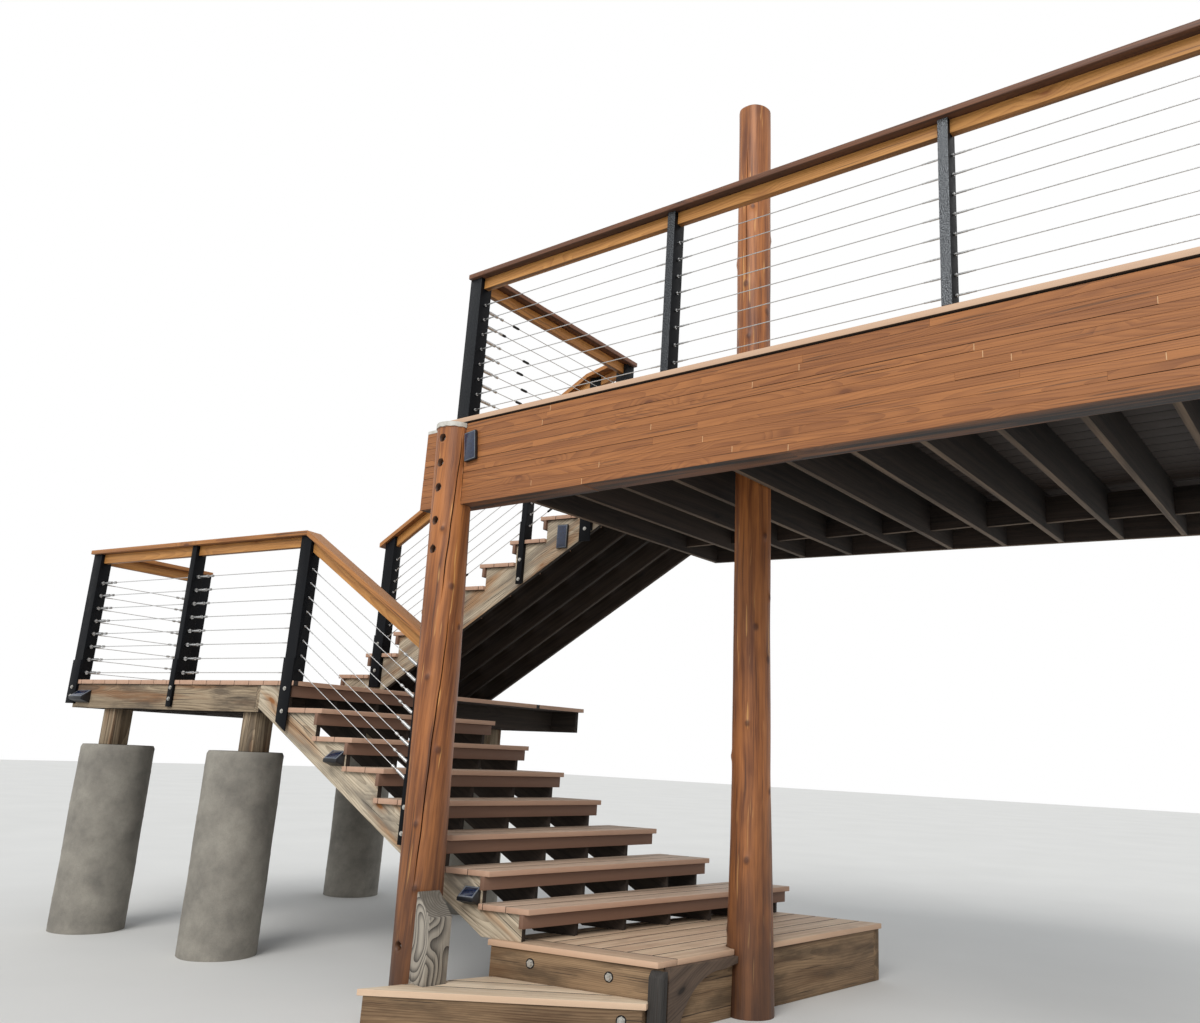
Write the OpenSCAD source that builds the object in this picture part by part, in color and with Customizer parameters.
// Outdoor deck stairs: a raised deck front on log posts, an upper flight along the
// house, a landing, a lower flight that widens as it comes down, and a low platform.
// Millimetres, +Z up. The origin is the centre of the corner log's foot.
// X runs along the front beam and Y towards the house.

/* [Levels] */
// Height of the deck surface above the lowest ground
deck_h = 3330; // [3000:10:3600]
// Height of the landing surface above the lowest ground
landing_h = 1750; // [1600:10:1900]
// Height of the bottom platform's surface
platform_h = 350; // [330:5:380]
// Height of the wedge step's surface
wedge_h = 165; // [150:5:190]

/* [Deck] */
// Number of whole rail bays along the front
bays = 3; // [2:1:6]
// Distance from one front rail post to the next
bay = 1530; // [1400:10:1700]
// Distance from the corner log's axis to the deck's left edge
deck_side = 206; // [200:5:260]
// Distance from the deck's end to the first rail post
post_inset = 228; // [140:2:260]
// Thickness of the front beam
beam_w = 155; // [130:5:180]
// Depth of the front beam
beam_d = 510; // [450:5:600]
// How far the beam's face stands in front of the corner log's foot
beam_face = 64; // [40:1:80]
// How far the beam runs out past the axis of each corner log
beam_end = 297; // [260:1:330]
// Thickness of the dark strip between the beam and the boards
strip_t = 8; // [5:1:20]
// How far the dark strip stands back from the beam's face
strip_inset = 8; // [4:1:12]
// Depth of the joists
joist_d = 275; // [235:1:300]
// Thickness of joists, ledger and rims
joist_w = 38; // [32:1:45]
// Spacing of the deck joists
joist_pitch = 400; // [350:5:450]
// Distance from the corner log's axis to the first joist
first_joist = 230; // [210:5:270]

/* [House side] */
// Turn of the house wall, the landing and the upper flight against the beam, degrees
wall_turn = 7.6; // [5:0.1:9]
// Distance from the corner log's axis to the house wall
wall_v = 3098; // [3000:2:3300]

/* [Boards] */
// Width of a deck board
board_w = 140; // [130:1:150]
// Thickness of a deck board
board_t = 32; // [24:1:40]
// Gap between deck boards
board_gap = 4.5; // [3:0.5:6]
// How far the boards overhang the frame under them
board_over = 12; // [6:1:20]

/* [Logs] */
// Diameter of the corner log at its foot
log_foot_d = 258; // [240:2:280]
// Diameter of the corner log at its top
log_top_d = 238; // [214:2:250]
// Lean of the beam logs away from the deck, degrees
log_lean = 1.05; // [0:0.05:1.5]
// Lean of the beam logs towards the front, degrees
log_lean_front = 0.7; // [0:0.05:1]
// Diameter of the porch log
porch_log_d = 232; // [210:2:250]
// Diameter of the porch log at its flared foot
porch_foot_d = 286; // [240:2:300]
// Height at which the porch log's flare ends
porch_flare_h = 1300; // [600:50:1800]
// Height of the porch log's top
porch_log_h = 5800; // [5200:10:6200]
// Distance of the porch log's foot from the corner log, along the beam
porch_log_x = 1385; // [1360:5:1420]
// Distance of the porch log's foot from the corner log, towards the house
porch_log_y = 1230; // [1180:5:1280]
// Lean of the porch log, degrees
porch_log_lean = 1.3; // [0:0.1:2]
// Diameter of the counterbored bolt holes
bolt_bore_d = 50; // [30:1:60]
// Depth of the counterbored bolt holes
bolt_bore_t = 45; // [30:1:60]
// Heights of the bolts that hold the corner log to the beam and its brackets
bolt_heights = [3192, 3034, 2878, 2674, 2499];
// Distance of the bolts from the log's middle line
bolt_side = 6; // [0:1:30]
// Height of the bolt near the log's foot
foot_bolt_z = 324; // [280:1:360]
// Thickness of the metal caps on the log tops and beam ends
flashing_t = 3; // [2:0.5:5]

/* [Landing] */
// Length of the landing along the house
landing_len = 2398; // [2200:2:2600]
// Distance from the corner log's axis to the landing's right front corner, along the house
landing_right = 1396; // [1350:1:1420]
// Distance from the corner log's axis to the landing's front edge
landing_front = 138; // [120:1:150]
// Depth of the landing's frame boards
landing_joist_d = 177; // [160:1:235]
// Number of joist bays in the landing
landing_joist_bays = 7; // [5:1:9]
// Side of the landing's timber posts
landing_post_w = 140; // [120:1:160]
// Distance from the landing's corner to a post's axis, along the house
landing_post_in = 429; // [400:1:450]
// Distance from the landing's front to a front post's axis
landing_post_front = 120; // [110:1:200]
// Distance from the landing's back to a back post's axis
landing_post_back = 300; // [270:1:340]
// Diameter of the landing's concrete piers
pier_d = 495; // [400:5:560]
// How far the piers' middles stand in from their posts
pier_out = 72; // [0:2:90]
// Height of the concrete piers
pier_h = 1280; // [1100:10:1350]
// Gap left to the house wall
wall_gap = 25; // [15:1:40]

/* [Lower flight] */
// Number of treads in the lower flight
lower_treads_n = 7; // [7:1:7]
// Going of the lower flight along its near side
lower_going = 278; // [270:1:290]
// Width of the upper treads of the lower flight
lower_w = 1480; // [1400:10:1480]
// Widths of the last three treads, which grow towards the house
wide_treads = [1720, 1850, 2250];
// Turn of the lower flight's near side against the house wall, degrees
lower_turn = 3.4; // [2:0.1:5]
// Turn of the landing's edge from square to that side, degrees
fan_top = 10.5; // [8:0.1:12]
// Further turn of each tread below, degrees
fan_step = 1.5; // [0.5:0.1:1.8]
// How far the stringers reach back under the landing's edge
header_back = 310; // [250:5:330]
// Depth of the lower stringers
lower_stringer_d = 262; // [235:1:280]

/* [Upper flight] */
// Number of risers from the landing to the deck
upper_risers_n = 9; // [9:1:9]
// Going of the upper flight
upper_going = 282; // [270:1:290]
// Distance from the corner log's axis to the upper flight's near side
upper_v = 1628; // [1610:1:1680]
// Distance of the top nosing from the corner log's foot, along the house
upper_top_u = 323; // [300:1:350]
// Depth of the upper stringers
upper_stringer_d = 312; // [235:1:330]

/* [Treads] */
// How far a tread's nosing overhangs its riser board
nosing_over = 30; // [20:1:40]
// Thickness of the riser boards
riser_t = 25; // [20:1:30]
// Height of the riser boards, which leave a gap below them
riser_h = 73; // [60:1:100]
// How far the treads run out past the outer stringers
tread_end = 25; // [10:1:40]
// Number of stringers under each flight
stringers_n = 5; // [4:1:6]

/* [Platform] */
// Length of the platform's near edge
platform_len = 1045; // [1000:5:1150]
// Depth of the platform towards the house
platform_depth = 2090; // [1900:10:2150]
// Turn of the platform's right edge from square, degrees
platform_turn = 17.6; // [14:0.1:20]
// Thickness of the platform's frame timbers
timber_w = 60; // [45:1:90]
// How far the stringers stand on the platform
stringer_foot = 192; // [180:2:240]
// Width of the dark stake at the platform's corner
stake_w = 89; // [70:1:100]
// Thickness of that stake
stake_t = 45; // [38:1:60]
// Height of that stake
stake_h = 310; // [280:5:315]
// Reach of the wedge step in front of the platform at its left tip
wedge_reach = 636; // [600:2:750]
// Reach of the wedge step in front of the platform at its right end
wedge_right = 64; // [40:2:260]
// How far the wedge step's tip lies to the left of the platform
wedge_left = 331; // [300:1:500]
// How far the wedge step's right end stops short of the platform's corner
wedge_short = 24; // [0:1:60]
// Side of the free stub post beside the corner log
stub_w = 140; // [120:1:150]
// Height of the stub post at its top edge
stub_h = 612; // [500:2:700]
// Height of the stub post's face, below the slope of its top
stub_face_h = 496; // [400:2:600]
// Turn of the stub post, degrees
stub_turn = 7.9; // [0:0.1:15]
// How far the stub post stands in front of the log's middle
stub_front = 43; // [0:1:60]

/* [Rails] */
// Height of the landing rail's top above the boards
rail_h = 1016; // [915:2:1070]
// Height of the deck rail's top above the boards
deck_rail_h = 965; // [915:5:1070]
// Height of the lower flight's rail above its nosings
lower_rail_h = 952; // [880:1:990]
// Height of the upper flight's rail above its nosings
upper_rail_h = 922; // [880:1:990]
// Width of the flat rail cap
cap_w = 132; // [120:1:150]
// Thickness of the flat rail cap
cap_t = 32; // [25:1:40]
// Depth of the board under the cap
sub_d = 72; // [60:1:95]
// Width of the rail posts in line
post_w = 50; // [40:1:90]
// Width of the rail posts at corners and ends
corner_post_w = 100; // [80:1:110]
// Thickness of a rail post across the rail
post_t = 89; // [60:1:100]
// How far the caps stand in front of the posts
cap_out = 22; // [10:1:30]
// Wall of the rail posts' tube
tube_wall = 4; // [3:0.5:6]
// Thickness of the straps that hold the posts from outside
strap_t = 10; // [6:1:14]
// Height of the straps above the boards
strap_up = 150; // [100:5:200]
// Number of cables in each rail
cables_n = 8; // [6:1:8]
// Height of the lowest cable above the boards
cable_first = 56; // [40:1:90]
// Height from one cable to the next
cable_pitch = 100; // [80:1:102]
// Height from the top cable of a stair rail to the cap's top
stair_cable_drop = 237; // [200:1:260]
// Height of a stair rail's lowest cable above the nosings
stair_cable_clear = 30; // [20:1:60]
// Diameter of a cable
cable_d = 5; // [4:0.5:8]
// Distance from one landing post to the next
landing_bay = 1169; // [1100:1:1180]
// Length of the foot of the upper cap beyond the newel's axis
upper_cap_foot = 100; // [60:5:140]
// Distance from one upper post to the next, measured level
upper_bay = 1398; // [1300:1:1450]
// Distance from the landing's right corner to the post there
corner_post_in = 60; // [55:1:90]
// Distance from the landing's corner to the lower flight's rail post
lower_post_x = 1028; // [950:5:1100]
// Distance from the corner log's foot to the newel, along the house
newel_in = 2166; // [2120:2:2220]
// Distance from the corner log's foot to the upper rail's top post, along the house
top_post_in = 178; // [150:2:210]
// Length of the rail that runs back along the landing's left side
landing_side_rail = 950; // [800:10:1100]
// Length of the rail that runs back along the deck's left side
deck_side_rail = 1572; // [1500:2:1600]
// Turn of that rail towards the deck's edge, degrees
side_rail_turn = 2.6; // [0:0.1:4]

/* [Lamps] */
// Width of the flat lamps
panel_w = 98; // [60:1:120]
// Height of the flat lamps
panel_h = 190; // [150:5:220]
// Distance of the beam's lamp from the corner log, along the beam
beam_lamp_x = 126; // [100:2:200]
// Depth of the beam lamp's middle below the deck's top
beam_lamp_down = 198; // [170:2:230]
// Lean of the beam's lamp, degrees
beam_lamp_tilt = 7.2; // [0:0.2:10]
// Distance of the upper stringer's lamp from the corner log, along the house
upper_lamp_in = 392; // [360:2:420]
// Depth of the upper lamp's middle below the deck's top
upper_lamp_down = 345; // [320:1:370]
// Distance of the landing's lamp from the corner log, along the house
landing_lamp_in = 3650; // [3500:5:3700]
// Depth of the landing lamp's middle below the landing's top
landing_lamp_down = 125; // [100:1:150]
// Width of the landing's lamp
landing_lamp_w = 154; // [110:2:170]
// Treads under which the lower stringer's lamps sit, counted from the landing
lower_lamp_ns = [2, 6];
// Distances of those lamps behind their treads' noses
lower_lamp_backs = [116, 118];
// Depths of those lamps below their treads' tops
lower_lamp_downs = [129, 139];
// Width of the wedge lamps
wedge_lamp_w = 110; // [80:1:150]
// Reach of the wedge lamps from the timber
wedge_lamp_out = 75; // [50:1:100]

/* [Hidden] */
$fn = 48;

big = 9000;
seat = 0.3;
board_pitch = board_w + board_gap;

deck_len = bays * bay + 2 * post_inset;
deck_x0 = -deck_side;
deck_x1 = deck_x0 + deck_len;
end_log_x = deck_x1 - deck_side;
deck_y0 = -beam_face - board_over;
deck_under = deck_h - board_t;
beam_top = deck_under - strip_t;
beam_bottom = beam_top - beam_d;
beam_y0 = -beam_face;
beam_y1 = beam_y0 + beam_w;
joist_bottom = deck_under - joist_d;
ledger_v = wall_v - joist_w;
rim_x0 = deck_x0 + board_over;
rim_x1 = deck_x1 - board_over;

landing_under = landing_h - board_t;
landing_frame_z = landing_under - landing_joist_d;
landing_back = wall_v - wall_gap;
lower_rise = (landing_h - platform_h) / (lower_treads_n + 1);
upper_rise = (deck_h - landing_h) / upper_risers_n;
upper_first_u = -upper_top_u - (upper_risers_n - 1) * upper_going;
riser_back = nosing_over + riser_t;

timber_color = "#a5662f";
log_color = "#9c5a2c";
weathered_color = "#8b7a62";
board_color = "#a17a66";
rail_color = "#ad6c35";
steel_color = "#1d1f24";
cable_color = "#b9bcc0";
dark_color = "#3a3530";
concrete_color = "#8d8a84";

// Frames: the house frame turns about the corner log, the lower flight's frame
// starts at the landing's right front corner and runs down the near side
module in_house() {
    rotate(wall_turn) children();
}

module in_lower() {
    in_house() translate([-landing_right, landing_front, 0]) rotate(lower_turn) children();
}

// A flat outline in X and Z, given a thickness along Y from y0 to y0 + w
module upright(y0, w) {
    translate([0, y0 + w, 0]) rotate([90, 0, 0]) linear_extrude(w) children();
}

// A flat outline in X and Y, between two heights
module slab(z0, z1) {
    translate([0, 0, z0]) linear_extrude(z1 - z0) children();
}

// A board with plumb ends and a sloping lower edge from (x0, z0) to (x1, z1)
module sloped_board(x0, z0, x1, z1, d, y0, w) {
    upright(y0, w) polygon([[x0, z0], [x1, z1], [x1, z1 + d], [x0, z0 + d]]);
}

// A round bar between two points of a vertical plane y
module bar(x0, z0, x1, z1, y) {
    length = norm([x1 - x0, z1 - z0]);
    translate([x0, y, z0]) rotate([0, 90 - atan2(z1 - z0, x1 - x0), 0]) cylinder(d = cable_d, h = length, $fn = 16);
}

// A bar with plumb ends, which meet upright posts face to face
module trimmed_bar(x0, z0, x1, z1, y) {
    slope = (z1 - z0) / (x1 - x0);
    over = cable_d;
    intersection() {
        bar(x0 - over, z0 - over * slope, x1 + over, z1 + over * slope, y);
        translate([x0, y - over, min(z0, z1) - big / 10]) cube([x1 - x0, 2 * over, abs(z1 - z0) + big / 5]);
    }
}

// A tube post, w along X and t along Y, centred on (x, y)
module tube_post(x, y, z0, z1, w = post_w, t = post_t) {
    translate([x, y, 0]) slab(z0, z1) difference() {
        square([w, t], center = true);
        square([w - 2 * tube_wall, t - 2 * tube_wall], center = true);
    }
}

// Everything on the outdoor side of the house wall's plane v, as a cutting block
module before_wall(v) {
    in_house() translate([-big, v - 2 * big, -big]) cube([2 * big, 2 * big, 2 * big]);
}

// Heights of the cables above the boards, and below the top of a stair rail of height h
function cable_z(i) = cable_first + i * cable_pitch;
function stair_drop(i, h) = stair_cable_drop + i * (h - stair_cable_drop - stair_cable_clear) / (cables_n - 1);

// Logs

log_z = beam_top;

// The frame of a leaning log, its foot at the origin
module leaning() {
    rotate([log_lean_front, -log_lean, 0]) children();
}

module log_body() {
    over = log_foot_d / 2;
    intersection() {
        leaning() translate([0, 0, -over]) cylinder(d1 = log_foot_d, d2 = log_top_d, h = log_z + 2 * over);
        translate([-log_foot_d, -log_foot_d, 0]) cube([2 * log_foot_d, 2 * log_foot_d, log_z]);
    }
}

// A blind hole for a sunk bolt, from the log's front, at height z
module bolt_bore(z) {
    front = -(log_foot_d + (log_top_d - log_foot_d) * z / log_z) / 2;
    leaning() translate([bolt_side, front + bolt_bore_t, z]) rotate([90, 0, 0])
        cylinder(d = bolt_bore_d, h = log_foot_d, $fn = 32);
}

// A beam log, notched so that the beam lies behind its front, bores at the beam
module beam_log() {
    color(log_color) difference() {
        log_body();
        translate([-log_foot_d, beam_y0, beam_bottom]) cube([2 * log_foot_d, log_foot_d, beam_d + 1]);
        for (z = concat(bolt_heights, [foot_bolt_z])) bolt_bore(z);
    }
}

module corner_log() {
    beam_log();
}

module end_log() {
    translate([end_log_x, 0, 0]) mirror([1, 0, 0]) beam_log();
}

// The leaning round of the porch log with its flared foot, wider by a clearance for what is
// cut round it. It starts below the ground, so that its foot can be cut level.
module porch_round(clear = 0) {
    below = 50;
    translate([porch_log_x, porch_log_y, 0]) rotate([0, -porch_log_lean, 0]) {
        translate([0, 0, -below])
            cylinder(d1 = porch_foot_d + 2 * clear, d2 = porch_log_d + 2 * clear, h = porch_flare_h + below);
        translate([0, 0, porch_flare_h]) cylinder(d = porch_log_d + 2 * clear, h = porch_log_h);
    }
}

module porch_log() {
    color(log_color) intersection() {
        porch_round();
        translate([porch_log_x - big / 2, porch_log_y - big / 2, 0]) cube([big, big, porch_log_h]);
    }
}

// Pale metal caps on the log tops and on the beam's ends beyond the logs
module log_cap() {
    intersection() {
        leaning() translate([0, 0, beam_top - log_top_d]) cylinder(d = log_top_d, h = 2 * log_top_d);
        translate([-log_foot_d, -log_foot_d, beam_top]) cube([2 * log_foot_d, log_foot_d + beam_y0, flashing_t]);
    }
}

module log_flashing() {
    color("#c9c6bc") {
        log_cap();
        translate([end_log_x, 0, 0]) mirror([1, 0, 0]) log_cap();
        for (x = [-beam_end, deck_x1]) {
            translate([x, beam_y0, beam_top]) cube([beam_end - deck_side, beam_w, flashing_t]);
        }
    }
}

// Deck

module front_beam() {
    color(timber_color) translate([-beam_end, beam_y0, beam_bottom])
        cube([end_log_x + 2 * beam_end, beam_w, beam_d]);
}

module beam_strip() {
    color(dark_color) translate([deck_x0, beam_y0 + strip_inset, beam_top])
        cube([deck_len, beam_w - strip_inset, strip_t]);
}

// Joist places: evenly spaced, with the one that would meet the porch log moved beside it
function joist_x(i) = first_joist + i * joist_pitch;
porch_clear = porch_log_d / 2 + joist_w / 2 + 20;
porch_x_up = porch_log_x - joist_bottom * tan(porch_log_lean);
function beside_porch(x) = abs(x - porch_x_up) >= porch_clear ? x
    : x < porch_x_up ? porch_x_up - porch_clear : porch_x_up + porch_clear;
joists_n = floor((rim_x1 - first_joist - joist_pitch / 3) / joist_pitch);
joist_centres = [for (i = [0 : joists_n]) beside_porch(joist_x(i))];

module deck_joist(x0) {
    intersection() {
        translate([x0, beam_y1, joist_bottom]) cube([joist_w, big, joist_d]);
        before_wall(ledger_v);
    }
}

module deck_joists() {
    color(weathered_color) {
        deck_joist(rim_x0);
        deck_joist(rim_x1 - joist_w);
        for (x = joist_centres) deck_joist(x - joist_w / 2);
    }
}

// Short blocks between the joists, close to the house
block_v = 500;
joist_faces = concat([rim_x0 + joist_w / 2], joist_centres, [rim_x1 - joist_w / 2]);

module joist_blocking() {
    color(dark_color) for (i = [0 : len(joist_faces) - 2]) {
        x0 = joist_faces[i] + joist_w / 2;
        x1 = joist_faces[i + 1] - joist_w / 2;
        y = (wall_v - block_v) / cos(wall_turn) + x0 * tan(wall_turn);
        translate([x0, y, joist_bottom + joist_d / 6]) cube([x1 - x0, joist_w, joist_d * 2 / 3]);
    }
}

module house_ledger() {
    color(dark_color) intersection() {
        in_house() translate([-big, ledger_v, joist_bottom]) cube([2 * big, joist_w, joist_d]);
        translate([rim_x0, 0, 0]) cube([rim_x1 - rim_x0, big, big]);
    }
}

deck_far = wall_v / cos(wall_turn) + deck_x1 * tan(wall_turn);
deck_rows = ceil((deck_far - deck_y0) / board_pitch);

module deck_boards() {
    color(board_color) for (i = [0 : deck_rows - 1]) {
        y = deck_y0 + i * board_pitch;
        difference() {
            intersection() {
                translate([deck_x0, y, deck_under]) cube([deck_len, board_w, board_t]);
                before_wall(landing_back);
            }
            if (abs(y + board_w / 2 - porch_log_y) < porch_log_d + board_w) porch_round(3);
        }
    }
}

// Deck rail

rail_y = deck_y0 + post_t / 2;
rail_x0 = deck_x0 + post_inset;
function front_post_x(i) = rail_x0 + i * bay;
function front_post_w(i) = i == 0 || i == bays ? corner_post_w : post_w;
side_x = rail_x0;
post_top = deck_rail_h - cap_t;
cap_x0 = side_x - corner_post_w / 2;
cap_y0 = deck_y0 - cap_out;
side_cap_y1 = rail_y + (deck_side_rail + corner_post_w / 2) * cos(side_rail_turn);
function side_cap_x(y) = cap_x0 - (y - cap_y0) * tan(side_rail_turn);
deck_sub_z = deck_h + post_top - sub_d;

// The deck's side rail runs back along Y of this frame
module along_side() {
    translate([side_x, rail_y, 0]) rotate(side_rail_turn) children();
}

module deck_rail_posts() {
    color(steel_color) {
        for (i = [0 : bays]) tube_post(front_post_x(i), rail_y, deck_h, deck_h + post_top, front_post_w(i));
        along_side() tube_post(0, deck_side_rail, deck_h, deck_h + post_top, corner_post_w);
    }
}

// The side cap runs through to the front, where the front cap butts against it
module deck_rail_cap() {
    y1 = cap_y0 + cap_w;
    color(rail_color) slab(deck_h + post_top, deck_h + deck_rail_h) {
        polygon([[side_cap_x(cap_y0) + cap_w + seat, cap_y0], [deck_x1, cap_y0], [deck_x1, y1],
            [side_cap_x(y1) + cap_w + seat, y1]]);
        polygon([[cap_x0, cap_y0], [cap_x0 + cap_w, cap_y0],
            [side_cap_x(side_cap_y1) + cap_w, side_cap_y1], [side_cap_x(side_cap_y1), side_cap_y1]]);
    }
}

module deck_sub_rail() {
    color(rail_color) {
        for (i = [0 : bays - 1]) {
            x0 = front_post_x(i) + front_post_w(i) / 2;
            x1 = front_post_x(i + 1) - front_post_w(i + 1) / 2;
            translate([x0, rail_y - joist_w / 2, deck_sub_z]) cube([x1 - x0, joist_w, sub_d]);
        }
        intersection() {
            along_side() translate([-joist_w / 2, 0, deck_sub_z])
                cube([joist_w, deck_side_rail - post_t / 2, sub_d]);
            translate([-big, rail_y + post_t / 2, 0]) cube([2 * big, big, big]);
        }
    }
}

module deck_front_cables() {
    color(cable_color) for (i = [0 : bays - 1], k = [0 : cables_n - 1]) {
        x0 = front_post_x(i) + front_post_w(i) / 2;
        x1 = front_post_x(i + 1) - front_post_w(i + 1) / 2;
        bar(x0, deck_h + cable_z(k), x1, deck_h + cable_z(k), rail_y);
    }
}

module deck_side_cables() {
    y0 = post_t / 2 / cos(side_rail_turn);
    color(cable_color) along_side() for (k = [0 : cables_n - 1]) {
        translate([0, y0, deck_h + cable_z(k)]) rotate([-90, 0, 0])
            cylinder(d = cable_d, h = deck_side_rail - post_t / 2 - y0, $fn = 16);
    }
}

// Landing, drawn in the house frame: u along the house, v towards it

landing_u0 = -landing_right - landing_len;
edge_turn = fan_top - lower_turn;
function edge_u(v) = -landing_right + (v - landing_front) * tan(edge_turn);
frame_u0 = landing_u0 + board_over;
frame_v0 = landing_front + board_over;

module landing_outline() {
    polygon([
        [landing_u0, landing_front], [-landing_right, landing_front],
        [edge_u(landing_back), landing_back], [landing_u0, landing_back]
    ]);
}

// The header stands back from the landing's right edge; right_u is the line of its
// right face, moved in by an inset
function right_u(v, inset) = edge_u(v) - (header_back + inset) / cos(edge_turn);

landing_post_us = [landing_u0 + landing_post_in, -landing_right - landing_post_in];
landing_post_vs = [landing_front + landing_post_front, landing_back - landing_post_back];
pier_us = [landing_post_us[0] + pier_out, landing_post_us[1] - pier_out];
carrier_w = 2 * joist_w;

// A timber's plan
module across_timber(u0, u1, v0, v1) {
    translate([u0, v0]) square([u1 - u0, v1 - v0]);
}

// Rims all round, a header, joists along the house and a doubled carrier over the posts
module landing_frame() {
    v0 = frame_v0 + joist_w;
    v1 = landing_back - joist_w;
    bay_v = (v1 - frame_v0) / landing_joist_bays;
    side_in = riser_back / cos(edge_turn);
    color(weathered_color) in_house() slab(landing_frame_z, landing_under) {
        polygon([[frame_u0, frame_v0], [right_u(frame_v0, joist_w + seat), frame_v0],
            [right_u(v0, joist_w + seat), v0], [frame_u0, v0]]);
        polygon([[right_u(frame_v0, joist_w), frame_v0], [right_u(frame_v0, 0), frame_v0],
            [right_u(v1 - seat, 0), v1 - seat], [right_u(v1 - seat, joist_w), v1 - seat]]);
        polygon([[frame_u0, v1], [edge_u(v1) - side_in, v1],
            [edge_u(landing_back) - side_in, landing_back], [frame_u0, landing_back]]);
        across_timber(frame_u0, frame_u0 + joist_w, v0 + seat, v1 - seat);
        for (u = landing_post_us) across_timber(u - carrier_w / 2, u + carrier_w / 2, v0 + seat, v1 - seat);
        for (i = [1 : landing_joist_bays - 1]) {
            a = frame_v0 + i * bay_v;
            b = a + joist_w;
            u1 = landing_post_us[1] + carrier_w / 2 + seat;
            across_timber(frame_u0 + joist_w + seat, landing_post_us[0] - carrier_w / 2 - seat, a, b);
            across_timber(landing_post_us[0] + carrier_w / 2 + seat, landing_post_us[1] - carrier_w / 2 - seat, a, b);
            polygon([[u1, a], [right_u(a, joist_w + seat), a], [right_u(b, joist_w + seat), b], [u1, b]]);
        }
    }
}

module landing_posts() {
    color(weathered_color) in_house() for (u = landing_post_us, v = landing_post_vs) {
        translate([u - landing_post_w / 2, v - landing_post_w / 2, pier_h])
            cube([landing_post_w, landing_post_w, landing_frame_z - pier_h]);
    }
}

module landing_piers() {
    color(concrete_color) in_house() for (u = pier_us, v = landing_post_vs) {
        translate([u, v, 0]) cylinder(d = pier_d, h = pier_h);
    }
}

// Boards are laid both ways from the right front corner
landing_rows_left = ceil(landing_len / board_pitch);
landing_rows_right = ceil((landing_back - landing_front) * tan(edge_turn) / board_pitch);

module landing_boards() {
    color(board_color) in_house() slab(landing_under, landing_h) intersection() {
        landing_outline();
        for (i = [-landing_rows_left : landing_rows_right - 1]) {
            translate([i * board_pitch + board_gap - landing_right, landing_front]) square([board_w, big]);
        }
    }
}

// Landing rail: posts on the boards' edge, held by straps that run down outside

landing_rail_v = landing_front + post_t / 2;
landing_post_u1 = -landing_right - corner_post_in;
function landing_post_u(i) = landing_post_u1 - (2 - i) * landing_bay;
function landing_rail_w(i) = i == 1 ? post_w : corner_post_w;
landing_strap_bottoms = [1571, 1562];
corner_strap_z0 = 1483;
corner_strap_z1 = 1422;
side_rail_v = landing_front + landing_side_rail;
landing_side_u = landing_post_u(0);
landing_cap_z = landing_h + rail_h - cap_t;
strap_v = landing_front - strap_t;
strap_top = landing_h + strap_up;

module landing_rail_posts() {
    color(steel_color) {
        in_house() {
            for (i = [0 : 1])
                tube_post(landing_post_u(i), landing_rail_v, landing_h, landing_cap_z, landing_rail_w(i));
            for (i = [0 : 1]) {
                w = landing_rail_w(i);
                z = landing_strap_bottoms[i];
                translate([landing_post_u(i) - w / 2, strap_v, z]) cube([w, strap_t, strap_top - z]);
                u0 = max(landing_post_u(i) - w / 2, frame_u0);
                translate([u0, landing_front, z])
                    cube([landing_post_u(i) + w / 2 - u0, board_over, landing_under - seat - z]);
            }
            upright(strap_v, strap_t) corner_strap_face(strap_top);
            tube_post(landing_side_u, side_rail_v, landing_h, landing_cap_z, corner_post_w);
        }
        difference() {
            in_house() tube_post(landing_post_u1, landing_rail_v, landing_h, landing_cap_z, corner_post_w);
            in_lower() sloped_board(cap_joint_x, lower_cap_z(cap_joint_x), cap_w, lower_cap_z(cap_w),
                cap_w, -cap_w, 3 * cap_w);
        }
        intersection() {
            in_house() upright(landing_front, 2 * tread_end) corner_strap_face(landing_under - seat);
            in_lower() translate([-big, -big, 0]) cube([big + face_x(0, 0) - seat, big + tread_end - seat, big]);
        }
    }
}

// The corner strap's face, its foot cut to the stringer's slope
module corner_strap_face(top) {
    u0 = landing_post_u1 - corner_post_w / 2;
    polygon([[u0, corner_strap_z0], [u0 + corner_post_w, corner_strap_z1], [u0 + corner_post_w, top], [u0, top]]);
}

// The caps of the landing and of the lower flight meet in a plumb joint
cap_joint_x = -42;

module landing_rail_cap() {
    u0 = landing_side_u - cap_w / 2;
    v0 = landing_front - cap_out;
    color(rail_color) slab(landing_cap_z, landing_h + rail_h) {
        difference() {
            in_house() translate([u0, v0]) square([-landing_right - u0, cap_w]);
            in_lower() translate([cap_joint_x - seat, -big / 2]) square([big, big]);
        }
        in_house() translate([u0, v0 + cap_w + seat])
            square([cap_w, side_rail_v + post_t / 2 - v0 - cap_w - seat]);
    }
}

module landing_sub_rail() {
    z = landing_cap_z - sub_d;
    v0 = landing_front + post_t;
    color(rail_color) in_house() {
        for (i = [0 : 1]) {
            u0 = landing_post_u(i) + landing_rail_w(i) / 2;
            u1 = landing_post_u(i + 1) - landing_rail_w(i + 1) / 2;
            translate([u0, landing_rail_v - joist_w / 2, z]) cube([u1 - u0, joist_w, sub_d]);
        }
        translate([landing_side_u - joist_w / 2, v0, z])
            cube([joist_w, side_rail_v - post_t / 2 - v0, sub_d]);
    }
}

module landing_front_cables() {
    color(cable_color) in_house() for (i = [0 : 1], k = [0 : cables_n - 1]) {
        u0 = landing_post_u(i) + landing_rail_w(i) / 2;
        u1 = landing_post_u(i + 1) - landing_rail_w(i + 1) / 2;
        z = landing_h + cable_z(k);
        bar(u0, z, u1, z, landing_rail_v);
    }
}

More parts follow.
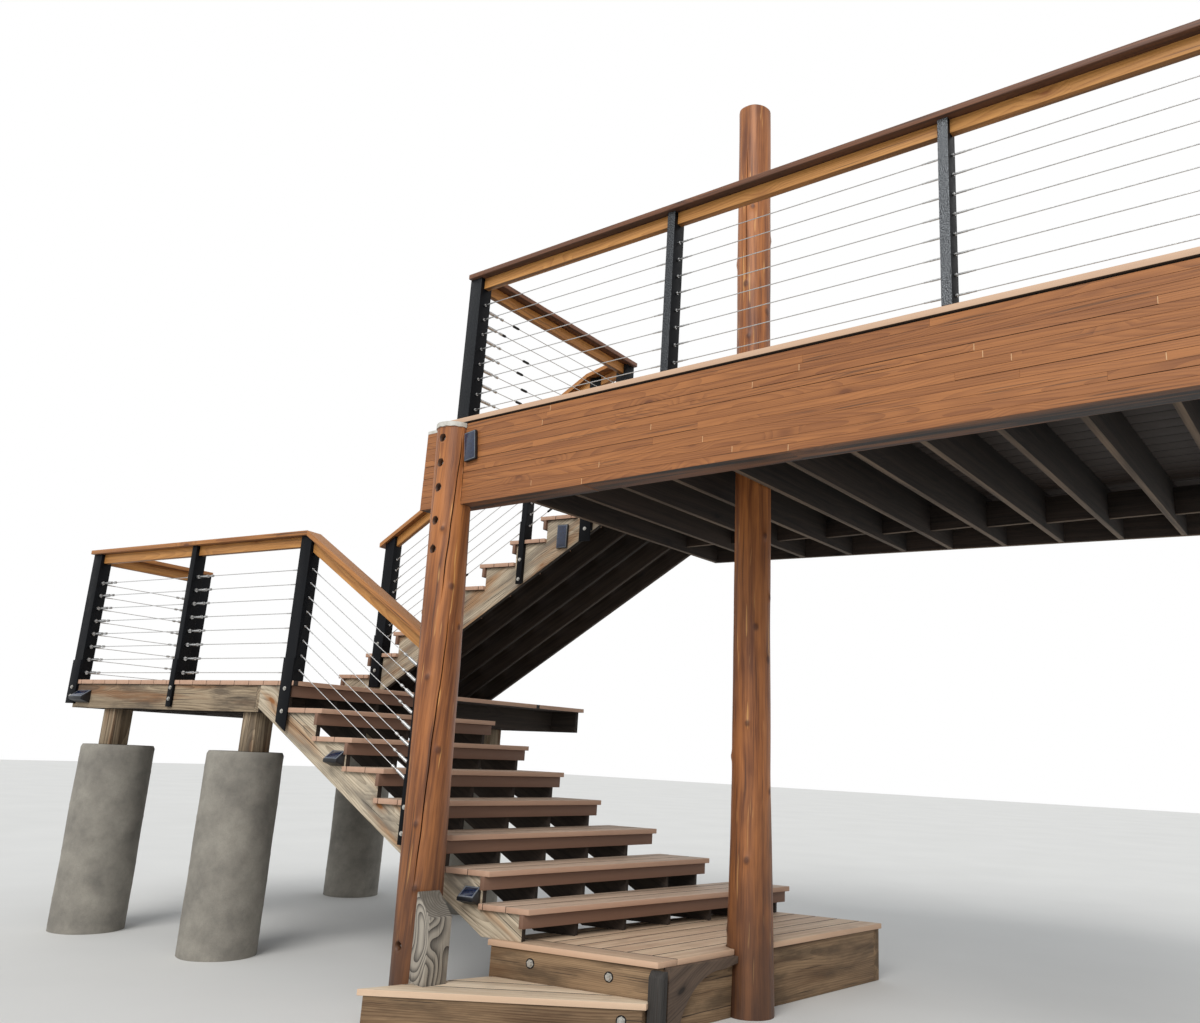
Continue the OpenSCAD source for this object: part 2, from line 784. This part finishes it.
module landing_side_cables() {
    v0 = landing_front + post_t;
    color(cable_color) in_house() for (k = [0 : cables_n - 1]) {
        translate([landing_side_u, v0, landing_h + cable_z(k)]) rotate([-90, 0, 0])
            cylinder(d = cable_d, h = side_rail_v - post_t / 2 - v0, $fn = 16);
    }
}

// Lower flight, drawn in its own frame: x down along the near side, y across

function fan(n) = fan_top + n * fan_step;
function nose_x(n, y) = n * lower_going + y * tan(fan(n));
function face_x(n, y) = nose_x(n, y) - riser_back / cos(fan(n));
function level_z(n) = landing_h - n * lower_rise;
function lower_len(n) = n <= lower_treads_n - 3 ? lower_w : wide_treads[n - lower_treads_n + 2] * cos(fan(n));

// A strip of tread n's plan, between two distances behind its nosing
module behind_nose(n, from, to, y0, y1) {
    c = cos(fan(n));
    polygon([
        [nose_x(n, y0) - to / c, y0], [nose_x(n, y0) - from / c, y0],
        [nose_x(n, y1) - from / c, y1], [nose_x(n, y1) - to / c, y1]
    ]);
}

module lower_tread(n) {
    y1 = lower_len(n);
    slab(level_z(n) - board_t, level_z(n)) {
        behind_nose(n, 0, board_w, 0, y1);
        behind_nose(n, board_pitch, board_pitch + board_w, 0, y1);
        polygon([
            [face_x(n - 1, 0) + seat, 0], [nose_x(n, 0) - 2 * board_pitch / cos(fan(n)), 0],
            [nose_x(n, y1) - 2 * board_pitch / cos(fan(n)), y1], [face_x(n - 1, y1) + seat, y1]
        ]);
    }
}

module lower_treads() {
    color(board_color) in_lower() for (n = [1 : lower_treads_n]) lower_tread(n);
}

module lower_risers() {
    color(board_color) in_lower() for (n = [0 : lower_treads_n]) {
        y1 = n == 0 ? lower_w - tread_end : lower_len(n);
        slab(level_z(n) - board_t - riser_h, level_z(n) - board_t)
            behind_nose(n, nosing_over, riser_back - seat, n == 0 ? tread_end : 0, y1);
    }
}

// Stringers: evenly spaced under the narrow treads, then one more under each
// of the last two wide ones, which starts at the first tread that reaches it
stringer_step = (lower_w - 2 * tread_end - joist_w) / (stringers_n - 1);
full_ys = [for (i = [0 : stringers_n - 1]) tread_end + i * stringer_step];
wide_ys = [
    for (n = [lower_treads_n - 1 : lower_treads_n]) lower_len(n) - tread_end - joist_w
];
function first_level(y) = [for (n = [1 : lower_treads_n]) if (lower_len(n) >= y + joist_w) n][0];
lower_drop = lower_stringer_d / cos(atan2(lower_rise, lower_going));

// Height of a stringer's lower edge, square below the line through its notches
function under_z(x, y, n0, n1) =
    level_z(n0) - board_t - (x - face_x(n0, y)) * (level_z(n0) - level_z(n1)) / (face_x(n1, y) - face_x(n0, y))
    - lower_drop;

module lower_stringer(y) {
    n0 = first_level(y);
    n1 = lower_treads_n;
    start_x = n0 == 1 ? nose_x(0, y) - header_back * 1.1 : face_x(n0 - 1, y);
    x1 = face_x(n1, y);
    foot = x1 - stringer_foot;
    start = under_z(start_x, y, n0 - 1, n1);
    end = under_z(foot, y, n0 - 1, n1);
    reach = (start - platform_h) / (start - end);
    heel = start_x + (foot - start_x) * min(1, reach);
    notches = [for (n = [n0 : n1]) each [
        [n == n0 && n0 > 1 ? start_x : face_x(n - 1, y), level_z(n) - board_t],
        [face_x(n, y), level_z(n) - board_t]
    ]];
    tooth = n0 == 1 ? [[face_x(0, y), landing_under], [start_x, landing_under]] : [];
    upright(y, joist_w) polygon(concat(
        [[start_x, max(start, platform_h)], [heel, platform_h], [x1, platform_h]],
        [for (i = [len(notches) - 1 : -1 : 0]) notches[i]],
        tooth
    ));
}

// The full stringers end at the header under the landing
module lower_stringers() {
    color(weathered_color) in_lower() intersection() {
        for (y = concat(full_ys, wide_ys)) lower_stringer(y);
        slab(0, big) behind_nose(0, -big, header_back - seat, -tread_end, wide_treads[2] + board_w);
    }
}

// Short free post beside the corner log, its top cut to a slope
module stub_post() {
    color(weathered_color) rotate(-stub_turn) translate([log_foot_d / 2 + seat, 0, 0])
        upright(-stub_front - stub_w / 2, stub_w)
            polygon([[0, 0], [stub_w, 0], [stub_w, stub_face_h], [0, stub_h]]);
}

// The room the stub post takes up in the wedge step, with a clearance
module stub_room(clear) {
    rotate(-stub_turn) translate([log_foot_d / 2 - clear, -stub_front - stub_w / 2 - clear, -1])
        cube([stub_w + 2 * clear, stub_w + 2 * clear, platform_h]);
}

// Lower rail, from the landing's corner post to a post near the flight's middle

lower_rail_y = post_t / 2;
lower_cap_y0 = -cap_out;
lower_cap_low = landing_h - lower_post_x * lower_rise / lower_going + lower_rail_h;
lower_slope = (lower_cap_low - landing_h - rail_h) / (lower_post_x - cap_joint_x);
lower_cos = cos(atan(lower_slope));
function lower_cap_top(x) = landing_h + rail_h + (x - cap_joint_x) * lower_slope;
function lower_cap_z(x) = lower_cap_top(x) - cap_t / lower_cos;
lower_strap_bottom = 795;
lower_post_level = ceil(lower_post_x / lower_going);

// Everything beyond the right face of the landing's corner post
module past_corner_post() {
    in_house() translate([landing_post_u1 + corner_post_w / 2, -big / 2, 0]) cube([big, big, big]);
}

module lower_rail_post() {
    x0 = lower_post_x - post_w / 2;
    x1 = lower_post_x + post_w / 2;
    z0 = level_z(lower_post_level);
    color(steel_color) in_lower() {
        difference() {
            upright(0, post_t) polygon([[x0, z0], [x1, z0], [x1, lower_cap_z(x1)], [x0, lower_cap_z(x0)]]);
            translate([x0 + tube_wall, tube_wall, z0 - 1])
                cube([post_w - 2 * tube_wall, post_t - 2 * tube_wall, rail_h * 2]);
        }
        translate([x0, -strap_t, lower_strap_bottom]) cube([post_w, strap_t, z0 + strap_up - lower_strap_bottom]);
        translate([x0, -strap_t, lower_strap_bottom])
            cube([post_w, strap_t + tread_end - seat, z0 - board_t - seat - lower_strap_bottom]);
    }
}

module lower_rail_cap() {
    x1 = lower_post_x + cap_w / 2;
    color(rail_color) in_lower() sloped_board(cap_joint_x, lower_cap_z(cap_joint_x), x1, lower_cap_z(x1),
        cap_t / lower_cos, lower_cap_y0, cap_w);
}

module lower_sub_rail() {
    x0 = cap_joint_x;
    x1 = lower_post_x - post_w / 2;
    d = sub_d / lower_cos;
    color(rail_color) intersection() {
        in_lower() sloped_board(x0, lower_cap_z(x0) - d, x1, lower_cap_z(x1) - d, d,
            lower_rail_y - joist_w / 2, joist_w);
        past_corner_post();
    }
}

module lower_cables() {
    x0 = cap_joint_x;
    x1 = lower_post_x - post_w / 2;
    color(cable_color) intersection() {
        in_lower() for (k = [0 : cables_n - 1]) {
            drop = stair_drop(k, lower_rail_h);
            trimmed_bar(x0, lower_cap_top(x0) - drop, x1, lower_cap_top(x1) - drop, lower_rail_y);
        }
        past_corner_post();
    }
}

// Upper flight, drawn in the house frame

function up_u(n) = upper_first_u + (n - 1) * upper_going;
function up_z(n) = landing_h + n * upper_rise;
upper_v1 = landing_back;
upper_drop = upper_stringer_d / cos(atan2(upper_rise, upper_going));

// Everything left of the plane x, as a cutting block
module left_of(x) {
    translate([x - 2 * big, -big, -big]) cube([2 * big, 2 * big, 2 * big]);
}

// The top tread is level with the deck and runs to the edge of its boards
module upper_treads() {
    depth = upper_going + riser_back - seat;
    color(board_color) {
        for (n = [1 : upper_risers_n - 1]) in_house() slab(up_z(n) - board_t, up_z(n)) {
            for (i = [0 : 1])
                translate([up_u(n) + i * board_pitch, upper_v]) square([board_w, upper_v1 - upper_v]);
            translate([up_u(n) + 2 * board_pitch, upper_v]) square([depth - 2 * board_pitch, upper_v1 - upper_v]);
        }
        intersection() {
            in_house() slab(deck_under, deck_h) for (i = [0 : 3]) {
                translate([up_u(upper_risers_n) + i * board_pitch, upper_v]) square([board_w, upper_v1 - upper_v]);
            }
            left_of(deck_x0 - board_gap);
        }
    }
}

module upper_risers() {
    color(board_color) in_house() for (n = [1 : upper_risers_n]) {
        translate([up_u(n) + nosing_over, upper_v, up_z(n) - board_t - riser_h])
            cube([riser_t - seat, upper_v1 - upper_v, riser_h]);
    }
}

upper_stringer_step = (upper_v1 - upper_v - 2 * tread_end - joist_w) / (stringers_n - 1);
upper_slope = upper_rise / upper_going;
upper_line_u = up_u(1) + riser_back;

// Height of a stringer's lower edge
function upper_under_z(u) = up_z(1) - board_t + (u - upper_line_u) * upper_slope - upper_drop;

module upper_stringer(v) {
    n1 = upper_risers_n;
    u_end = big / 10;
    notches = [for (n = [1 : n1]) each [
        [up_u(n) + riser_back, up_z(n) - board_t],
        [n == n1 ? u_end : up_u(n + 1) + riser_back, up_z(n) - board_t]
    ]];
    heel = upper_line_u + (landing_h - up_z(1) + board_t + upper_drop) / upper_slope;
    upright(v, joist_w) polygon(concat(
        [[upper_line_u, landing_h], [heel, landing_h], [u_end, upper_under_z(u_end)]],
        [for (i = [len(notches) - 1 : -1 : 0]) notches[i]]
    ));
}

module upper_stringers() {
    color(weathered_color) intersection() {
        in_house() for (i = [0 : stringers_n - 1]) upper_stringer(upper_v + tread_end + i * upper_stringer_step);
        left_of(rim_x0 - seat);
        in_house() translate([-big, 0, 0]) cube([2 * big, big, deck_under]);
    }
}

// Upper rail: a newel, a middle post and a top post, with straps on the near stringer

upper_rail_v = upper_v + post_t / 2;
upper_post_us = [-newel_in, upper_bay - newel_in, -top_post_in];
upper_post_ns = [2, 7, 9];
upper_strap_bottoms = [1820, 2626, 2930];
upper_post_ws = [corner_post_w, post_w, corner_post_w];
upper_cos = cos(atan(upper_slope));
deck_cap_top = deck_h + deck_rail_h;
function nose_line_z(u) = up_z(1) + (u - up_u(1)) * upper_slope;
upper_turn_u = up_u(1) + (deck_cap_top - upper_rail_h - up_z(1)) / upper_slope;
function upper_cap_top(u) = nose_line_z(u) + upper_rail_h;
function upper_cap_z(u) = upper_cap_top(u) - cap_t / upper_cos;
// Where the sloping cap's underside meets the level cap's underside
upper_under_u = upper_turn_u + (cap_t / upper_cos - cap_t) / upper_slope;
function upper_post_z(u) = min(upper_cap_z(u), deck_cap_top - cap_t);

module upper_rail_posts() {
    color(steel_color) in_house() for (i = [0 : 2]) {
        w = upper_post_ws[i];
        u0 = upper_post_us[i] - w / 2;
        u1 = u0 + w;
        z0 = up_z(upper_post_ns[i]);
        bottom = upper_strap_bottoms[i];
        seat_z = max(bottom, upper_under_z(u1));
        difference() {
            upright(upper_v, post_t)
                polygon([[u0, z0], [u1, z0], [u1, upper_post_z(u1)], [u0, upper_post_z(u0)]]);
            translate([u0 + tube_wall, upper_v + tube_wall, z0 - 1])
                cube([w - 2 * tube_wall, post_t - 2 * tube_wall, rail_h * 2]);
        }
        translate([u0, upper_v - strap_t, bottom]) cube([w, strap_t, z0 + strap_up - bottom]);
        translate([u0, upper_v - strap_t, seat_z])
            cube([w, strap_t + tread_end - seat, z0 - board_t - seat - seat_z]);
    }
}

upper_cap_v0 = upper_v - cap_out;

// The level end of the cap runs on to the side of the deck's own cap
module level_cap_plan() {
    a = [upper_turn_u, upper_cap_v0];
    b = [upper_turn_u, upper_cap_v0 + cap_w];
    y1 = side_cap_y1 - cap_w;
    polygon([house_xy(a), [side_cap_x(y1) - seat, y1], [side_cap_x(side_cap_y1) - seat, side_cap_y1], house_xy(b)]);
}

function house_xy(p) = [
    p[0] * cos(wall_turn) - p[1] * sin(wall_turn),
    p[0] * sin(wall_turn) + p[1] * cos(wall_turn)
];

module upper_rail_cap() {
    u0 = -newel_in - upper_cap_foot;
    u1 = upper_turn_u;
    color(rail_color) {
        in_house() upright(upper_cap_v0, cap_w)
            polygon([[u0, upper_cap_z(u0)], [u1, deck_cap_top - cap_t / upper_cos],
                [upper_under_u, deck_cap_top - cap_t], [upper_under_u, deck_cap_top],
                [u1, deck_cap_top], [u0, upper_cap_top(u0)]]);
        slab(deck_cap_top - cap_t, deck_cap_top) level_cap_plan();
    }
}

// The block a rail post takes up, for what ends at its faces
module top_post_block() {
    in_house() translate([-top_post_in - corner_post_w / 2, upper_v, 0]) cube([corner_post_w, post_t, big]);
}

module side_post_block() {
    along_side() translate([-corner_post_w / 2, deck_side_rail - post_t / 2, 0]) cube([corner_post_w, post_t, big]);
}

side_post_xy = [side_x - deck_side_rail * sin(side_rail_turn), rail_y + deck_side_rail * cos(side_rail_turn)];
top_post_xy = house_xy([-top_post_in, upper_rail_v]);
link = side_post_xy - top_post_xy;

module upper_sub_rail() {
    u1 = upper_post_us[0] + upper_post_ws[0] / 2;
    u2 = upper_post_us[1] - upper_post_ws[1] / 2;
    u3 = u2 + upper_post_ws[1];
    u4 = upper_post_us[2] - upper_post_ws[2] / 2;
    d = sub_d / upper_cos;
    level_z = deck_cap_top - cap_t;
    bend_u = upper_under_u + (d - sub_d) / upper_slope;
    end_under = min(upper_cap_z(u4) - d, level_z - sub_d);
    end_top = min(upper_cap_z(u4), level_z);
    color(rail_color) {
        in_house() {
            sloped_board(u1, upper_cap_z(u1) - d, u2, upper_cap_z(u2) - d, d, upper_rail_v - joist_w / 2, joist_w);
            upright(upper_rail_v - joist_w / 2, joist_w)
                polygon([[u3, upper_cap_z(u3) - d], [min(bend_u, u4), end_under], [u4, end_under], [u4, end_top],
                    [min(upper_under_u, u4), end_top], [u3, upper_cap_z(u3)]]);
        }
        difference() {
            translate([top_post_xy[0], top_post_xy[1], level_z - sub_d]) rotate(atan2(link[1], link[0]))
                translate([0, -joist_w / 2, 0]) cube([norm(link), joist_w, sub_d]);
            top_post_block();
            side_post_block();
        }
    }
}

module upper_cables() {
    color(cable_color) in_house() for (i = [0 : 1], k = [0 : cables_n - 1]) {
        u0 = upper_post_us[i] + upper_post_ws[i] / 2;
        u1 = upper_post_us[i + 1] - upper_post_ws[i + 1] / 2;
        drop = stair_drop(k, upper_rail_h);
        trimmed_bar(u0, upper_cap_top(u0) - drop, u1, upper_cap_top(u1) - drop, upper_rail_v);
    }
}

// Platform and wedge step, drawn in the lower flight's frame

platform_under = platform_h - board_t;
platform_x0 = face_x(lower_treads_n, 0) - stringer_foot;
platform_x1 = platform_x0 + platform_len;
function platform_left(y) = platform_x0 + y * tan(fan(lower_treads_n));
function platform_right(y) = platform_x1 + y * tan(platform_turn);

module platform_outline(inset) {
    y1 = platform_depth - inset;
    polygon([
        [platform_left(inset) + inset, inset], [platform_right(inset) - inset / cos(platform_turn), inset],
        [platform_right(y1) - inset / cos(platform_turn), y1], [platform_left(y1) + inset, y1]
    ]);
}

platform_joists_n = 3;

// Timbers on edge, from the ground to the boards, with joists between them
module platform_frame() {
    y0 = board_over + timber_w;
    y1 = platform_depth - y0;
    color(dark_color) difference() {
        in_lower() slab(0, platform_under) {
            difference() {
                platform_outline(board_over);
                platform_outline(y0);
                for (y = [y0, y1]) translate([-big, y]) square([2 * big, seat]);
            }
            for (i = [1 : platform_joists_n]) intersection() {
                platform_outline(y0 + seat);
                translate([-big, y0 + (y1 - y0) * i / (platform_joists_n + 1)]) square([2 * big, joist_w]);
            }
        }
        porch_round(seat);
    }
}

platform_rows = floor(platform_len / board_pitch);

module platform_boards() {
    color(board_color) difference() {
        in_lower() slab(platform_under, platform_h) {
            polygon([[platform_left(0), 0], [platform_right(0), 0], [platform_right(board_w), board_w],
                [platform_left(board_w), board_w]]);
            intersection() {
                polygon([[platform_left(board_pitch), board_pitch], [platform_right(board_pitch), board_pitch],
                    [platform_right(platform_depth), platform_depth],
                    [platform_left(platform_depth), platform_depth]]);
                for (i = [0 : platform_rows - 1]) {
                    translate([platform_x1, 0]) rotate(-platform_turn)
                        translate([-(i + 1) * board_pitch + board_gap, -board_w * 2]) square([board_w, big]);
                }
            }
        }
        porch_round(3);
    }
}

// Stake at the near right corner, its top bevelled, against the platform's near timber
stake_x = platform_x1 - 35;

module corner_stake() {
    bevel = stake_t * 0.6;
    color(dark_color) in_lower() translate([stake_x, board_over - stake_t, 0]) rotate([90, 0, 90])
        linear_extrude(stake_w)
            polygon([[0, 0], [stake_t, 0], [stake_t, stake_h], [bevel, stake_h], [0, stake_h - bevel]]);
}

// Board on the platform's right side, its lower edge scribed in a hollow curve
side_board_t = 38;
side_board_x0 = 60;
side_board_x1 = 700;
side_arch_x = 471;
side_arch_z = -65;
side_arch_r = 330;
side_board_tail = 25;

module platform_side_board() {
    tail_z = platform_under - side_board_tail;
    color(dark_color) difference() {
        in_lower() translate([platform_x1, 0, 0]) rotate(90 - platform_turn)
            upright(board_over - side_board_t, side_board_t) difference() {
                translate([side_board_x0, 0]) square([side_board_x1 - side_board_x0, platform_under]);
                translate([side_arch_x, side_arch_z]) circle(r = side_arch_r, $fn = 180);
                polygon([[side_arch_x, -1], [side_board_x1 + 1, -1], [side_board_x1 + 1, tail_z],
                    [side_arch_x - 50, side_arch_z + side_arch_r - 12]]);
            }
        porch_round(seat);
    }
}

wedge_tip_x = platform_x0 - wedge_left;
wedge_end_x = platform_x1 - wedge_short;

module wedge_outline(inset) {
    polygon([
        [wedge_tip_x + 2 * inset, 1.6 * inset - wedge_reach], [wedge_end_x - 2 * inset, inset / 2 - wedge_right],
        [stake_x - seat - inset, 0], [platform_x0 + 40 + inset, 0]
    ]);
}

// A thin slit along a corner's mitre, from one inset of the outline to another
module mitre_slit(x, y, dx, dy) {
    reach = 2 * timber_w;
    polygon([[x, y], [x + dx * reach, y + dy * reach], [x + dx * reach, y + dy * reach + 2 * seat],
        [x, y + 2 * seat]]);
}

module wedge_frame() {
    inner = board_over + timber_w;
    color(timber_color) difference() {
        in_lower() slab(0, wedge_h - board_t) {
            difference() {
                wedge_outline(board_over);
                wedge_outline(inner);
                mitre_slit(wedge_tip_x, -wedge_reach, 2, 1.6);
            }
            intersection() {
                wedge_outline(inner + 2 * seat);
                translate([(wedge_tip_x + wedge_end_x) / 2, -big / 2]) square([timber_w, big]);
            }
        }
        stub_room(2 * seat);
    }
}

wedge_dir = atan2(wedge_reach - wedge_right, wedge_end_x - wedge_tip_x);

module wedge_boards() {
    color(board_color) difference() {
        in_lower() slab(wedge_h - board_t, wedge_h) intersection() {
            wedge_outline(0);
            translate([wedge_tip_x, -wedge_reach]) rotate(wedge_dir)
                for (i = [0 : 5]) translate([-big / 2, i * board_pitch]) square([big, board_w]);
        }
        stub_room(board_gap);
    }
}

// Small lamps: flat ones on the beam and on the upper stringer, wedges on the landing's
// rim and twice on the lower stringer. Each is drawn with its back on a plane.
panel_t = 25;

module panel_lamp(z) {
    translate([-panel_w / 2, -panel_t, z - panel_h / 2]) cube([panel_w, panel_t, panel_h]);
}

module wedge_lamp(x, z, w) {
    h = wedge_lamp_out * 1.3;
    translate([x - w / 2, 0, z - h / 2]) rotate([90, 0, 90]) linear_extrude(w)
        polygon([[0, 0], [0, h], [-wedge_lamp_out, h * 0.45], [-wedge_lamp_out, h * 0.25]]);
}

module stair_lamps() {
    color(steel_color) {
        translate([beam_lamp_x, beam_y0, deck_h - beam_lamp_down]) rotate([0, -beam_lamp_tilt, 0]) panel_lamp(0);
        in_house() {
            translate([-upper_lamp_in, upper_v + tread_end, 0]) panel_lamp(deck_h - upper_lamp_down);
            translate([0, frame_v0, 0]) wedge_lamp(-landing_lamp_in, landing_h - landing_lamp_down, landing_lamp_w);
        }
        in_lower() translate([0, tread_end, 0]) for (i = [0 : 1])
            wedge_lamp(nose_x(lower_lamp_ns[i], 0) - lower_lamp_backs[i],
                level_z(lower_lamp_ns[i]) - lower_lamp_downs[i], wedge_lamp_w);
    }
}

corner_log();
end_log();
porch_log();
log_flashing();
front_beam();
beam_strip();
deck_joists();
joist_blocking();
house_ledger();
deck_boards();
deck_rail_posts();
deck_rail_cap();
deck_sub_rail();
deck_front_cables();
deck_side_cables();
landing_frame();
landing_posts();
landing_piers();
landing_boards();
landing_rail_posts();
landing_rail_cap();
landing_sub_rail();
landing_front_cables();
landing_side_cables();
lower_stringers();
lower_treads();
lower_risers();
lower_rail_post();
lower_rail_cap();
lower_sub_rail();
lower_cables();
upper_stringers();
upper_treads();
upper_risers();
upper_rail_posts();
upper_rail_cap();
upper_sub_rail();
upper_cables();
platform_frame();
platform_boards();
platform_side_board();
corner_stake();
wedge_frame();
wedge_boards();
stub_post();
stair_lamps();
